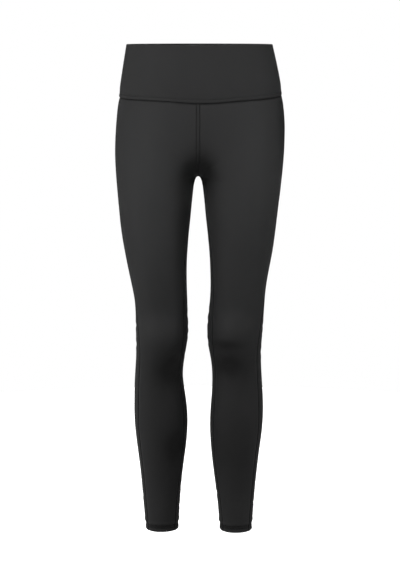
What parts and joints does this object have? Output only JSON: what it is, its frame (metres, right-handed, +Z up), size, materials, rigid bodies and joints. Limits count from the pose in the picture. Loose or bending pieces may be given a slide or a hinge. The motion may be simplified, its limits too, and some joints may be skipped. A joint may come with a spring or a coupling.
{
  "type": "leggings",
  "caption": "High-rise full-length leggings with a wide waistband, open at the waist and hems and held in the hollow form they take when worn.",
  "frame": {"origin": "centre of the waist opening, level with its top edge", "axes": "+Z up, out of the waist opening; -Y towards the wearer's front; +X towards the wearer's left"},
  "size_m": [0.3271, 0.2332, 0.9587],
  "materials": {
    "leg_knit": "matte black stretch knit",
    "waistband_knit": "matte black stretch knit, doubled"
  },
  "bodies": {
    "root": {"waistband_front": "waistband_knit", "waistband_back": "waistband_knit", "front_left": "leg_knit", "front_right": "leg_knit", "back_left": "leg_knit", "back_right": "leg_knit"}
  },
  "joints": []
}
